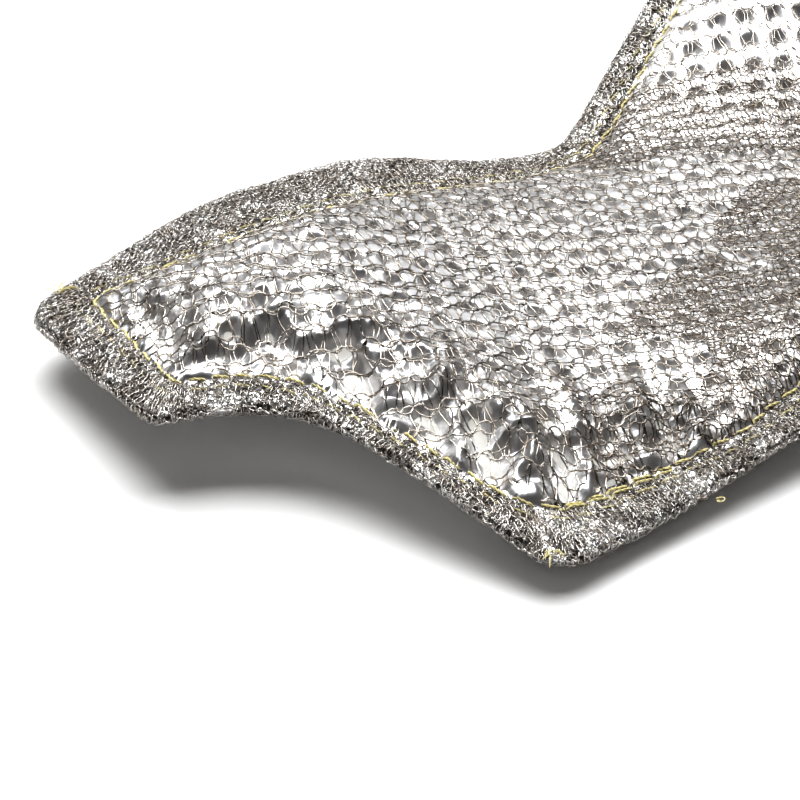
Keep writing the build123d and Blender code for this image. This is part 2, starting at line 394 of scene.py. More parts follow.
def trimmed_sheet(name, x_range, step, trim, top, bottom, material):
    """Closed sheet over a grid in plan: the cells inside the trim line, between two heights.

    Points on the cut move along the trim distance's slope until they lie on the line, and a
    wall joins top and bottom along every edge that only one cell uses.
    """
    x_values = np.arange(x_range[0], x_range[1] + step / 2, step)
    y_values = np.arange(-REACH[1] + 4, REACH[1] - 4, step)
    x, y = np.meshgrid(x_values, y_values, indexing="ij")
    keep = trim(x[:-1, :-1] + step / 2, y[:-1, :-1] + step / 2) > 0
    index = np.arange(x.size).reshape(x.shape)
    cell = np.stack([index[:-1, :-1], index[1:, :-1], index[1:, 1:], index[:-1, 1:]], -1)[keep]
    start, end = cell.ravel(), np.roll(cell, -1, 1).ravel()
    single = ~np.isin(start * x.size + end, end * x.size + start)
    start, end = start[single], end[single]
    x, y = x.ravel(), y.ravel()
    rim = np.unique(start)
    gap = trim(x[rim], y[rim])
    rim, gap = rim[np.abs(gap) < 1.3 * step], gap[np.abs(gap) < 1.3 * step]
    slope_x = (trim(x[rim] + 0.3, y[rim]) - trim(x[rim] - 0.3, y[rim])) / 0.6
    slope_y = (trim(x[rim], y[rim] + 0.3) - trim(x[rim], y[rim] - 0.3)) / 0.6
    on_divide = np.isclose(x[rim], DIVIDE_X, atol=step / 4)
    x[rim] -= np.where(on_divide, 0, gap * slope_x)
    y[rim] -= gap * slope_y
    count = x.size
    used = np.unique(cell)
    height = np.zeros((2, count))
    height[0, used] = top(x[used], y[used])
    height[1, used] = np.minimum(bottom(x[used], y[used]), height[0, used] - 0.02)
    points = np.stack([np.tile(x, 2), np.tile(y, 2), height.ravel()], -1)
    wall = np.stack([end, start, start + count, end + count], -1)
    normals = np.zeros((2 * count, 3))
    reach = step / 2
    for side, height_at, sign in ((0, top, 1), (count, bottom, -1)):
        east, west = height_at(x[used] + reach, y[used]), height_at(x[used] - reach, y[used])
        north, south = height_at(x[used], y[used] + reach), height_at(x[used], y[used] - reach)
        slope = np.stack([(west - east) / step, (south - north) / step, np.ones(len(used))], -1)
        normals[used + side] = sign * unit(slope)
    return make_mesh(name, points, [cell, cell[:, ::-1] + count, wall], material, normals)


def tubes(name, path, normal, radius, keep, sides, material, x_range=None):
    """Round wires: a ring of points round every sample of every path, joined along the path.

    path and normal are (wires, samples, 3). Stretches where keep is false, or whose middle is
    outside the x range, are left out, and each end that remains is closed with a cap.
    """
    run = unit(np.gradient(path, axis=1))
    across = unit(np.cross(run, normal))
    up = np.cross(across, run)
    angle = TURN * (np.arange(sides) + 0.5) / sides
    ring = across[..., None, :] * np.cos(angle)[:, None] + up[..., None, :] * np.sin(angle)[:, None]
    points = path[..., None, :] + np.asarray(radius)[..., None, None] * ring
    wires, samples = path.shape[:2]
    index = np.arange(wires * samples * sides).reshape(wires, samples, sides)
    span = keep[:, :-1] & keep[:, 1:]
    if x_range:
        midway = 0.5 * (path[:, :-1, 0] + path[:, 1:, 0])
        span &= (midway >= x_range[0]) & (midway < x_range[1])
    here, there = index[:, :-1][span], index[:, 1:][span]
    skin = np.stack([here, there, np.roll(there, -1, 1), np.roll(here, -1, 1)], -1).reshape(-1, 4)
    edge = np.zeros((wires, 1), bool)
    before, after = np.hstack([edge, span]), np.hstack([span, edge])
    first, last = index[after & ~before], index[before & ~after][:, ::-1]
    return make_mesh(name, points.reshape(-1, 3), [skin, first, last], material)


def knit(width, height, loop, course, samples, bulge=0.2, overlap=0.62):
    """Plain knit on a flat rectangle: each course is one wire through a row of loops.

    Along the course x = loop * t / turn + bulge * loop * sin 2t, across it
    y = overlap * course * cos t, and the wire passes over and under as cos 2t.
    """
    loops = int(np.ceil(width / loop))
    courses = int(np.ceil(height / course))
    t = np.linspace(0, TURN * loops, loops * samples + 1)[None, :]
    row = np.arange(courses)[:, None]
    x = loop * t / TURN + bulge * loop * np.sin(2 * t)
    y = course * row + overlap * course * np.cos(t)
    over = np.cos(2 * t) + 0 * row
    return x + 0 * row, y, over


def finish_piece(piece, bodies, nodes=()):
    """Hide the nodes a piece stands for, and attach it to its body if it has one, or bake its transform if it
    has a pair of bodies.
    """
    if nodes:
        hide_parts(*nodes)
    if len(bodies) == 1:
        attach(piece, bodies[0])
    else:
        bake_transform(piece)
    return piece


HALVES = {
    "left": ((-REACH[0] + 6, DIVIDE_X), ("panel", "tab")),
    "right": ((DIVIDE_X, REACH[0] - 6), ("panel", "wing")),
}


def half_nodes(half, name):
    """The nodes that one half of a sheet stands for: the panel's goes with the left half."""
    return [f"panel_{name}", f"tab_{name}"] if half == "left" else [f"wing_{name}"]


# ---- Shader groups and materials ----


def new_group(name, inputs, outputs):
    """An empty shader group with named float inputs and outputs, as (group, start, end)."""
    group = bpy.data.node_groups.new(name, "ShaderNodeTree")
    for label, kind, value in inputs:
        socket = group.interface.new_socket(label, in_out="INPUT", socket_type=kind)
        if value is not None:
            socket.default_value = value
    for label, kind in outputs:
        group.interface.new_socket(label, in_out="OUTPUT", socket_type=kind)
    return group, group.nodes.new("NodeGroupInput"), group.nodes.new("NodeGroupOutput")


def patina_group():
    """Uneven tarnish: cloudy noise gives a mask, fine noise gives a grain height."""
    inputs = [("Scale", "NodeSocketFloat", 300.0), ("Cover", "NodeSocketFloat", 0.5)]
    group, start, end = new_group("patina", inputs, [("Mask", "NodeSocketFloat"), ("Grain", "NodeSocketFloat")])
    place = group.nodes.new("ShaderNodeTexCoord")
    cloud = group.nodes.new("ShaderNodeTexNoise")
    cloud.inputs["Detail"].default_value = 5
    grain = group.nodes.new("ShaderNodeTexNoise")
    grain.inputs["Detail"].default_value = 2
    finer = group.nodes.new("ShaderNodeMath")
    finer.operation = "MULTIPLY"
    finer.inputs[1].default_value = 9
    limit = group.nodes.new("ShaderNodeMapRange")
    limit.inputs["To Min"].default_value = 0
    limit.inputs["To Max"].default_value = 1
    top = group.nodes.new("ShaderNodeMath")
    top.operation = "ADD"
    top.inputs[1].default_value = 0.25
    links = group.links
    links.new(place.outputs["Object"], cloud.inputs["Vector"])
    links.new(place.outputs["Object"], grain.inputs["Vector"])
    links.new(start.outputs["Scale"], cloud.inputs["Scale"])
    links.new(start.outputs["Scale"], finer.inputs[0])
    links.new(finer.outputs[0], grain.inputs["Scale"])
    links.new(cloud.outputs["Fac"], limit.inputs["Value"])
    links.new(start.outputs["Cover"], limit.inputs["From Min"])
    links.new(start.outputs["Cover"], top.inputs[0])
    links.new(top.outputs[0], limit.inputs["From Max"])
    links.new(limit.outputs["Result"], end.inputs["Mask"])
    links.new(grain.outputs["Fac"], end.inputs["Grain"])
    return group


def tangle_group():
    """Fine wires lying over each other: two sets of thin bent bands, with gaps between them that tangle_finish
    paints dark as shade.
    """
    inputs = [("Scale", "NodeSocketFloat", 900.0)]
    outputs = [("Wire", "NodeSocketFloat"), ("Glint", "NodeSocketFloat")]
    group, start, end = new_group("tangle", inputs, outputs)
    place = group.nodes.new("ShaderNodeTexCoord")
    cells = group.nodes.new("ShaderNodeTexVoronoi")
    cells.feature = "DISTANCE_TO_EDGE"
    spots = group.nodes.new("ShaderNodeTexVoronoi")
    spots.feature = "F1"
    warp = group.nodes.new("ShaderNodeTexNoise")
    warp.inputs["Detail"].default_value = 3
    shift = group.nodes.new("ShaderNodeMix")
    shift.data_type = "VECTOR"
    shift.inputs["Factor"].default_value = 0.0015
    band = group.nodes.new("ShaderNodeMapRange")
    band.inputs["From Max"].default_value = 0.16
    band.inputs["To Min"].default_value = 1
    band.inputs["To Max"].default_value = 0
    pick = group.nodes.new("ShaderNodeMapRange")
    pick.inputs["From Min"].default_value = 0.46
    pick.inputs["From Max"].default_value = 0.52
    tone = group.nodes.new("ShaderNodeSeparateColor")
    half = group.nodes.new("ShaderNodeMath")
    half.operation = "MULTIPLY"
    half.inputs[1].default_value = 0.5
    links = group.links
    links.new(place.outputs["Object"], warp.inputs["Vector"])
    links.new(start.outputs["Scale"], warp.inputs["Scale"])
    links.new(place.outputs["Object"], shift.inputs["A"])
    links.new(warp.outputs["Color"], shift.inputs["B"])
    links.new(shift.outputs["Result"], cells.inputs["Vector"])
    links.new(shift.outputs["Result"], spots.inputs["Vector"])
    links.new(start.outputs["Scale"], cells.inputs["Scale"])
    links.new(start.outputs["Scale"], half.inputs[0])
    links.new(half.outputs[0], spots.inputs["Scale"])
    links.new(cells.outputs["Distance"], band.inputs["Value"])
    links.new(spots.outputs["Color"], tone.inputs["Color"])
    links.new(tone.outputs["Red"], pick.inputs["Value"])
    links.new(band.outputs["Result"], end.inputs["Wire"])
    links.new(pick.outputs["Result"], end.inputs["Glint"])
    return group


class Finish:
    """A material under construction: its nodes, its shader and short ways to link them."""

    def __init__(self, name, metallic, roughness, colour):
        self.material = bpy.data.materials.new(name)
        self.material.use_nodes = True
        self.nodes = self.material.node_tree.nodes
        self.links = self.material.node_tree.links
        self.shader = self.nodes["Principled BSDF"]
        self.shader.inputs["Metallic"].default_value = metallic
        self.shader.inputs["Roughness"].default_value = roughness
        self.shader.inputs["Base Color"].default_value = (*colour, 1)

    def add(self, kind, **values):
        """A new node, with values for its sockets by name (underscores for spaces)."""
        node = self.nodes.new(kind)
        for label, value in values.items():
            node.inputs[label.replace("_", " ")].default_value = value
        return node

    def group(self, tree, **values):
        """One of the shared groups, with this material's values."""
        node = self.nodes.new("ShaderNodeGroup")
        node.node_tree = tree
        for label, value in values.items():
            node.inputs[label].default_value = value
        return node

    def mix(self, mask, low, high):
        """Colour between two colours or sockets by a mask socket."""
        node = self.nodes.new("ShaderNodeMix")
        node.data_type = "RGBA"
        self.links.new(mask, node.inputs["Factor"])
        for side, value in (("A", low), ("B", high)):
            socket = [s for s in node.inputs if s.name == side and s.type == "RGBA"][0]
            if isinstance(value, tuple):
                socket.default_value = (*value, 1)
            else:
                self.links.new(value, socket)
        return [s for s in node.outputs if s.type == "RGBA"][0]

    def span(self, mask, low, high):
        """Number between low and high by a mask socket."""
        node = self.add("ShaderNodeMapRange", To_Min=low, To_Max=high)
        self.links.new(mask, node.inputs["Value"])
        return node.outputs["Result"]

    def bump(self, height, strength, distance):
        """Bump on the shader from a height socket, distance in metres."""
        node = self.add("ShaderNodeBump", Strength=strength, Distance=distance)
        self.links.new(height, node.inputs["Height"])
        self.links.new(node.outputs["Normal"], self.shader.inputs["Normal"])

    def feed(self, socket, label):
        """Link a socket to one of the shader's inputs."""
        self.links.new(socket, self.shader.inputs[label])


def foil_finish(name, colour, patina):
    """Mirror bright foil: cloudy roughness, a faint warm tarnish and rolled grain."""
    finish = Finish(name, 1.0, 0.1, colour)
    tarnish = finish.group(patina, Scale=160.0, Cover=0.5)
    darker = tuple(0.90 * c for c in colour)
    finish.feed(finish.mix(tarnish.outputs["Mask"], colour, darker), "Base Color")
    finish.feed(finish.span(tarnish.outputs["Mask"], 0.02, 0.07), "Roughness")
    finish.bump(tarnish.outputs["Grain"], 0.05, 0.00005)
    return finish.material


def wire_finish(name, colour, patina, roughness):
    """Drawn steel wire: bright, with brown tarnish in patches."""
    finish = Finish(name, 1.0, roughness, colour)
    tarnish = finish.group(patina, Scale=420.0, Cover=0.48)
    brown = (0.62 * colour[0], 0.56 * colour[1], 0.50 * colour[2])
    finish.feed(finish.mix(tarnish.outputs["Mask"], colour, brown), "Base Color")
    finish.feed(finish.span(tarnish.outputs["Mask"], roughness, roughness + 0.12), "Roughness")
    finish.bump(tarnish.outputs["Grain"], 0.2, 0.00002)
    return finish.material


def tangle_finish(name, colour, patina, tangle):
    """Packed plies of fine mesh: thin bright wires over gaps painted dark as shade between the wires, and
    glints of foil.
    """
    finish = Finish(name, 0.9, 0.42, colour)
    wires = finish.group(tangle, Scale=950.0)
    tarnish = finish.group(patina, Scale=110.0, Cover=0.45)
    # Painted shade: the gaps between the wires take 0.16 times the colour.
    gap = tuple(0.16 * c for c in colour)
    light = tuple(min(1.25 * c, 1) for c in colour)
    plain = finish.mix(wires.outputs["Wire"], gap, light)
    worn = finish.mix(wires.outputs["Glint"], plain, (0.92, 0.92, 0.92))
    finish.feed(finish.mix(tarnish.outputs["Mask"], worn, plain), "Base Color")
    finish.feed(finish.span(wires.outputs["Glint"], 0.45, 0.12), "Roughness")
    finish.bump(wires.outputs["Wire"], 0.9, 0.0002)
    return finish.material


def thread_finish(name, colour, patina):
    """Twisted aramid thread: straw yellow, soft, with darker soiled stretches."""
    finish = Finish(name, 0.0, 0.65, colour)
    soil = finish.group(patina, Scale=260.0, Cover=0.5)
    dull = (0.72 * colour[0], 0.66 * colour[1], 0.5 * colour[2])
    finish.feed(finish.mix(soil.outputs["Mask"], colour, dull), "Base Color")
    finish.feed(finish.span(soil.outputs["Grain"], 0.55, 0.8), "Roughness")
    finish.shader.inputs["Sheen Weight"].default_value = 0.3
    finish.bump(soil.outputs["Grain"], 0.4, 0.00004)
    return finish.material


def mat_finish(name, colour, patina):
    """Felted ceramic fibre: chalky white with soft clumps."""
    finish = Finish(name, 0.0, 0.95, colour)
    clump = finish.group(patina, Scale=220.0, Cover=0.5)
    shade = tuple(0.86 * c for c in colour)
    finish.feed(finish.mix(clump.outputs["Mask"], colour, shade), "Base Color")
    finish.feed(finish.span(clump.outputs["Grain"], 0.85, 1.0), "Roughness")
    finish.bump(clump.outputs["Grain"], 0.6, 0.0002)
    return finish.material


def floor_finish(name, colour, patina):
    """Matt white table top with the faintest mottling."""
    finish = Finish(name, 0.0, 0.9, colour)
    cloud = finish.group(patina, Scale=8.0, Cover=0.5)
    shade = tuple(0.985 * c for c in colour)
    finish.feed(finish.mix(cloud.outputs["Mask"], colour, shade), "Base Color")
    finish.feed(finish.span(cloud.outputs["Mask"], 0.88, 0.95), "Roughness")
    return finish.material


def material(name):
    """The named finish, made when it is first asked for."""
    if name in bpy.data.materials:
        return bpy.data.materials[name]
    colours = bpy.context.scene.heat_pad_colours
    groups = bpy.data.node_groups
    patina = groups.get("patina") or patina_group()
    tangle = groups.get("tangle") or tangle_group()
    makers = {
        "bright_foil": lambda: foil_finish(name, tuple(colours.foil), patina),
        "coarse_wire": lambda: wire_finish(name, tuple(colours.wire), patina, 0.26),
        "fine_wire": lambda: wire_finish(name, tuple(colours.fine_wire), patina, 0.2),
        # The gathered ply's wire is darker than the coarse wire: painted shade.
        "shaded_gathered_wire": lambda: wire_finish(name, tuple(colours.shaded_gathered_wire), patina, 0.3),
        "packed_mesh": lambda: tangle_finish(name, tuple(colours.packed_mesh), patina, tangle),
        "yellow_thread": lambda: thread_finish(name, tuple(colours.thread), patina),
        "fibre_mat": lambda: mat_finish(name, tuple(colours.mat), patina),
        "table_top": lambda: floor_finish(name, tuple(colours.floor), patina),
    }
    return makers[name]()


# ---- Settings ----


class HeatPadSizes(bpy.types.PropertyGroup):
    """Sizes of the pad's details, in millimetres."""

    dent_pitch: bpy.props.FloatProperty(
        name="Dent pitch", description="Spacing of the embossed dents", default=5.0
    )
    dent_depth: bpy.props.FloatProperty(
        name="Dent depth", description="Depth of an embossed dent", default=1.35
    )
    dent_turn: bpy.props.FloatProperty(
        name="Dent turn", description="Turn of the embossed grid from the X axis, in degrees", default=11.0
    )
    loop: bpy.props.FloatProperty(
        name="Loop width", description="Width of a loop of the coarse mesh", default=3.6
    )
    course: bpy.props.FloatProperty(
        name="Course height", description="Distance between rows of the coarse mesh", default=3.8
    )
    wire: bpy.props.FloatProperty(name="Wire radius", description="Radius of the coarse wire", default=0.115)
    fine_loop: bpy.props.FloatProperty(
        name="Fine loop", description="Width of a loop of the binding", default=1.7
    )
    fine_course: bpy.props.FloatProperty(
        name="Fine course", description="Distance between rows of the binding", default=1.45
    )
    fine_wire: bpy.props.FloatProperty(
        name="Fine wire", description="Radius of the binding's wire", default=0.075
    )
    stitch: bpy.props.FloatProperty(name="Stitch", description="Length of one stitch", default=3.5)
    strand: bpy.props.FloatProperty(
        name="Strand", description="Radius of one strand of the thread", default=0.115
    )


class HeatPadColours(bpy.types.PropertyGroup):
    """Colours of the pad's materials."""

    foil: bpy.props.FloatVectorProperty(
        name="Foil", description="Bright foil", subtype="COLOR", size=3, default=(0.90, 0.90, 0.91)
    )
    wire: bpy.props.FloatVectorProperty(
        name="Wire", description="Coarse wire", subtype="COLOR", size=3, default=(0.64, 0.60, 0.55)
    )
    fine_wire: bpy.props.FloatVectorProperty(
        name="Fine wire",
        description="Wire of the binding",
        subtype="COLOR",
        size=3,
        default=(0.72, 0.69, 0.65),
    )
    # A darker copy of the wire colour: painted shade on the gathered ply in the crease band and at the
    # front-right corner.
    shaded_gathered_wire: bpy.props.FloatVectorProperty(
        name="Gathered wire",
        description="Wire of the gathered ply",
        subtype="COLOR",
        size=3,
        default=(0.34, 0.30, 0.26),
    )
    packed_mesh: bpy.props.FloatVectorProperty(
        name="Packed mesh",
        description="Plies inside the hem",
        subtype="COLOR",
        size=3,
        default=(0.42, 0.39, 0.36),
    )
    thread: bpy.props.FloatVectorProperty(
        name="Thread", description="Aramid thread", subtype="COLOR", size=3, default=(0.42, 0.36, 0.18)
    )
    mat: bpy.props.FloatVectorProperty(
        name="Mat", description="Fibre mat", subtype="COLOR", size=3, default=(0.90, 0.89, 0.86)
    )
    floor: bpy.props.FloatVectorProperty(
        name="Floor", description="Table top", subtype="COLOR", size=3, default=(0.92, 0.92, 0.92)
    )


# ---- Pieces ----


class HEATPAD_OT_foils(bpy.types.Operator):
    """Embossed face foil and creased back foil, each a closed sheet in two halves"""

    bl_idname = "heatpad.foils"
    bl_label = "Foils"

    def execute(self, context):
        foil = material("bright_foil")
        for half, (x_range, bodies) in HALVES.items():
            face = trimmed_sheet(
                f"face_foil_{half}",
                x_range,
                0.4,
                lambda x, y: SEAM.inside(x, y) + 1.4,
                foil_top,
                lambda x, y: foil_top(x, y) - 0.08,
                foil,
            )
            finish_piece(face, bodies, half_nodes(half, "face_foil"))
            back = trimmed_sheet(
                f"back_foil_{half}",
                x_range,
                0.8,
                lambda x, y: SEAM.inside(x, y) + 1.4,
                lambda x, y: foil_bottom(x, y) + 0.08,
                foil_bottom,
                foil,
            )
            finish_piece(back, bodies, half_nodes(half, "back_foil"))
        return {"FINISHED"}


class HEATPAD_OT_mats(bpy.types.Operator):
    """Two plies of fibre mat that fill the pad between the foils"""

    bl_idname = "heatpad.mats"
    bl_label = "Fibre mats"

    def execute(self, context):
        for half, (x_range, bodies) in HALVES.items():
            for name, top, bottom in (
                (
                    "upper_mat",
                    lambda x, y: middle(x, y) + 0.78 * crown(x, y) - 0.75,
                    lambda x, y: middle(x, y) + 0.02,
                ),
                ("lower_mat", middle, lambda x, y: middle(x, y) - 0.78 * belly(x, y) + 0.3),
            ):
                ply = trimmed_sheet(
                    f"{name}_{half}",
                    x_range,
                    1.6,
                    lambda x, y: SEAM.inside(x, y) - 1.5,
                    top,
                    bottom,
                    material("fibre_mat"),
                )
                finish_piece(ply, bodies, half_nodes(half, name))
        return {"FINISHED"}


class HEATPAD_OT_wire_mesh(bpy.types.Operator):
    """Coarse knitted wire mesh over the face and the back, two plies on the face"""

    bl_idname = "heatpad.wire_mesh"
    bl_label = "Wire mesh"

    def ply(self, turn, shift, lift, under, seed, finer=1.0):
        """One ply of mesh, turned and shifted in plan, laid on the foil or under it."""
        sizes = bpy.context.scene.heat_pad_sizes
        samples = 18 if finer == 1 else 12
        x, y, over = knit(230, 240, sizes.loop * finer, sizes.course * finer, samples)
        x, y = x - 115 + shift[0], y - 120 + shift[1]
        angle = np.radians(turn)
        x, y = x * np.cos(angle) - y * np.sin(angle), x * np.sin(angle) + y * np.cos(angle)
        x, y = (
            x + 0.45 * wander(x, y, 11, seed) + 0.5 * wander(x, y, 37, seed + 1),
            y + 0.45 * wander(x, y, 12, seed + 2) + 0.5 * wander(x, y, 41, seed + 3),
        )
        d = SEAM.inside(x, y)
        if under:
            z = middle(x, y) - belly(x, y) + 0.02 + 0.12 * over + lift
        else:
            ride_up = np.maximum(crumple(x, y), -0.12) * smooth_step(0, 3, d)
            z = middle(x, y) + crown(x, y, 1.0) + ride_up + 0.20 + 0.15 * over + lift
            z = z - 0.5 * smooth_step(1.2, -0.5, d)
        keep = d > -0.9
        path = np.stack([x, y, z], -1)
        normal = np.broadcast_to(np.array([0.0, 0.0, -1.0 if under else 1.0]), path.shape)
        # The finer ply is kept only in the crease band and at the front-right corner, and its darker wire
        # colour there is painted shade.
        if finer < 1:
            slack = 6 * wander(x, y, 23, seed + 4)
            crease = np.abs(y - CREASE_Y - 2 + 0.4 * slack) < 10.5
            corner = (x - 0.5 * y + slack > 31) & (y < 20)
            keep &= crease | corner
        radius = sizes.wire * finer**0.5 * (1 - 0.3 * smooth_step(34, 44, y))
        return path, normal, radius, keep

    def execute(self, context):
        # Gathered ply in the crease band and at the front-right corner, in a darker wire colour that paints
        # shade there.
        path, normal, radius, keep = self.ply(14.0, (0.4, 0.9), 0.22, False, 91, finer=0.5)
        x_range, bodies = HALVES["right"]
        wire = material("shaded_gathered_wire")
        wires = tubes("shaded_gathered_mesh_right", path, normal, radius * 1.35, keep, 4, wire, x_range)
        finish_piece(wires, bodies)
        plies = {
            "face_mesh_outer": (11.0, (0.0, 0.0), 0.12, False, 61),
            "face_mesh_inner": (8.0, (1.5, 1.9), -0.06, False, 71),
            "back_mesh": (0.0, (0.7, 0.4), 0.12, True, 81),
        }
        stands_for = {"face_mesh_outer": "face_mesh", "back_mesh": "back_mesh"}
        for name, (turn, shift, lift, under, seed) in plies.items():
            path, normal, radius, keep = self.ply(turn, shift, lift, under, seed)
            for half, (x_range, bodies) in HALVES.items():
                wire = material("coarse_wire")
                wires = tubes(f"{name}_{half}", path, normal, radius, keep, 4, wire, x_range)
                nodes = half_nodes(half, stands_for[name]) if name in stands_for else []
                finish_piece(wires, bodies, nodes)
        return {"FINISHED"}


class HEATPAD_OT_hem(bpy.types.Operator):
    """Solid heart of the hem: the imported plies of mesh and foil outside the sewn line"""

    bl_idname = "heatpad.hem"
    bl_label = "Hem"

    def execute(self, context):
        for half, (x_range, bodies) in HALVES.items():
            heart = trimmed_sheet(
                f"hem_plies_{half}",
                x_range,
                0.6,
                lambda x, y: np.minimum(EDGE.inside(x, y) - 0.15, 0.9 - SEAM.inside(x, y)),
                lambda x, y: (
                    middle(x, y) + hem_sway(x, y) + hem_swell(x, y) - 0.12 + 0.20 * facets(x, y, 2.1, 44)
                ),
                lambda x, y: middle(x, y) + hem_sway(x, y) - hem_swell(x, y) + 0.1,
                material("packed_mesh"),
            )
            finish_piece(heart, bodies)
        return {"FINISHED"}


class HEATPAD_OT_binding(bpy.types.Operator):
    """Folded strips of fine mesh round the hem, in plies that wrap over the outer edge"""

    bl_idname = "heatpad.binding"
    bl_label = "Binding strips"

    def wrap(self, s, t, lift):
        """Wrap strip coordinates round the hem: s runs along the edge, t across it.

        For small t the point turns round a half circle at the edge by the angle t / radius.
        Beyond it the point runs inwards over the top (t > 0) or the underside (t < 0).
        """
        fold = 0.95
        point, inward = EDGE.at(s)
        seam, _ = SEAM.at(SEAM.along(point[..., 0], point[..., 1]))
        quarter = np.pi * fold / 2
        angle = np.clip(t / fold, -np.pi / 2, np.pi / 2)
        turned = fold * (1 - np.cos(angle))
        beyond = np.maximum(np.abs(t) - quarter, 0)
        plan = point + inward * turned[..., None] + unit(seam - point) * beyond[..., None]
        x, y = plan[..., 0], plan[..., 1]
        flat = smooth_step(0.6, 1.0, np.abs(np.sin(angle)))
        half = fold * np.abs(np.sin(angle)) * (1 - flat) + hem_swell(x, y) * flat
        z = middle(x, y) + hem_sway(x, y) + np.sign(t) * half
        out = np.concatenate([-inward * np.cos(angle)[..., None], np.sin(angle)[..., None]], -1)
        return np.stack([x, y, z], -1) + out * lift[..., None], out

    def execute(self, context):
        sizes = context.scene.heat_pad_sizes
        corner_at = dict(EDGE.corner_at)
        rear = (EDGE.points[:, 1] > 0) & (np.abs(EDGE.points[:, 0] - DIVIDE_X) < 2)
        corner_at["divide"] = EDGE.step * np.flatnonzero(rear).mean()
        layers = [
            (1.00, 1.00, 0.20, 13.0, 12.0),
            (0.86, 0.92, 0.06, 13.0, 2.5),
        ]
        for strip, (first, last, bodies, nodes) in STRIPS.items():
            begin, end = corner_at[first], corner_at[last]
            length = (end - begin) % EDGE.length
            parts = []
            for number, (wide, tall, lift, over_top, under) in enumerate(layers):
                loop, course = sizes.fine_loop * wide, sizes.fine_course * tall
                u, v, over = knit(length, over_top + under, loop, course, 8, bulge=0.17, overlap=0.66)
                seed = 100 + 10 * number
                near = u + begin
                s = begin + u + 0.35 * wander(near, v, 5.3, seed) + 0.3 * wander(near, v, 13, seed + 1)
                t = v - under + 0.35 * wander(near, v, 4.7, seed + 2) + 0.4 * wander(near, v, 17, seed + 3)
                high = lift + 0.10 * over + 0.09 * wander(near, v, 3.1, seed + 4)
                path, normal = self.wrap(s, t, high)
                keep = (SEAM.inside(path[..., 0], path[..., 1]) < 0.35) & (u <= length) & (u >= 0)
                parts.append((path, normal, keep))
            pieces = []
            for i, (path, normal, keep) in enumerate(parts):
                radius = np.full(keep.shape, sizes.fine_wire)
                wire = material("fine_wire")
                pieces.append(tubes(f"{strip}_ply_{i}", path, normal, radius, keep, 3, wire))
            with context.temp_override(active_object=pieces[0], selected_editable_objects=pieces):
                bpy.ops.object.join()
            pieces[0].name = f"{strip}_hem"
            finish_piece(pieces[0], bodies, nodes)
        return {"FINISHED"}


class HEATPAD_OT_stitching(bpy.types.Operator):
    """Rows of lockstitch: needle thread above, bobbin thread below, and a tack row outside"""

    bl_idname = "heatpad.stitching"
    bl_label = "Stitching"

    def row(self, begin, end, outward, side, stitch, strand, bury, seed):
        """Two strands twisted round a path that rises over each stitch and dives at its ends."""
        step = 0.22
        s = np.arange(begin, end, step)
        point, inward = SEAM.at(s)
        place = point - inward * (outward + 0.12 * wander(s, 0 * s, 9, seed))[:, None]
        x, y = place[:, 0], place[:, 1]
        phase = s / stitch + 0.10 * wander(s, 0 * s, 15, seed + 1)
        near_hole = np.abs(phase - np.round(phase)) * stitch
        dive = 0.75 * np.exp(-((near_hole / 0.45) ** 2))
        height = hem_swell(x, y) + strand + 0.24 - bury - dive
        z = middle(x, y) + hem_sway(x, y) + side * height
        slant = 0.16 * np.sin(TURN * phase)
        centre = np.stack([x, y, z], -1)
        centre[:, :2] += inward * slant[:, None]
        up = np.broadcast_to(np.array([0.0, 0.0, side]), centre.shape)
        across = np.concatenate([inward, np.zeros((len(s), 1))], -1)
        turn = TURN * s / 1.6
        strands = []
        for start in (0, np.pi):
            offset = across * np.cos(turn + start)[:, None] + up * np.sin(turn + start)[:, None]
            strands.append(centre + 0.85 * strand * offset)
        return np.array(strands), np.broadcast_to(up, (2, *up.shape))

    def lay(self, name, spans, bodies, nodes, outward, side, bury, scale, seed):
        """One piece of thread from a list of spans of the sewn line."""
        sizes = bpy.context.scene.heat_pad_sizes
        strand = sizes.strand * scale
        made = []
        for number, (begin, end) in enumerate(spans):
            path, normal = self.row(begin, end, outward, side, sizes.stitch, strand, bury, seed)
            radius = np.full(path.shape[:2], strand)
            keep = np.ones(path.shape[:2], bool)
            made.append(tubes(f"{name}_{number}", path, normal, radius, keep, 6, material("yellow_thread")))
        with bpy.context.temp_override(active_object=made[0], selected_editable_objects=made):
            bpy.ops.object.join()
        made[0].name = name
        finish_piece(made[0], bodies, nodes)

    def execute(self, context):
        points = SEAM.points
        on_divide = np.flatnonzero(np.abs(points[:, 0] - DIVIDE_X) < 0.5 * SEAM.step + 0.01)
        front = SEAM.step * on_divide[points[on_divide, 1] < -40].mean()
        rear = SEAM.step * on_divide[points[on_divide, 1] > -40].mean()
        spans = {"left": [(rear - SEAM.length, front)], "right": [(front, rear)]}
        rows = {
            "needle_thread": (0.0, 1, 0.0, 1.0, 201),
            "bobbin_thread": (0.0, -1, 0.0, 1.0, 211),
            "tack_thread": (2.2, 1, 0.30, 0.62, 221),
        }
        for name, (outward, side, bury, scale, seed) in rows.items():
            for half, (_, bodies) in HALVES.items():
                self.lay(
                    f"{name}_{half}",
                    spans[half],
                    bodies,
                    half_nodes(half, name),
                    outward,
                    side,
                    bury,
                    scale,
                    seed,
                )
        corner = SEAM.corner_at["front"]
        self.lay("lock_stitches", [(corner + 3, corner + 22)], ("panel",), [], 0.75, 1, -0.05, 0.9, 231)
        return {"FINISHED"}


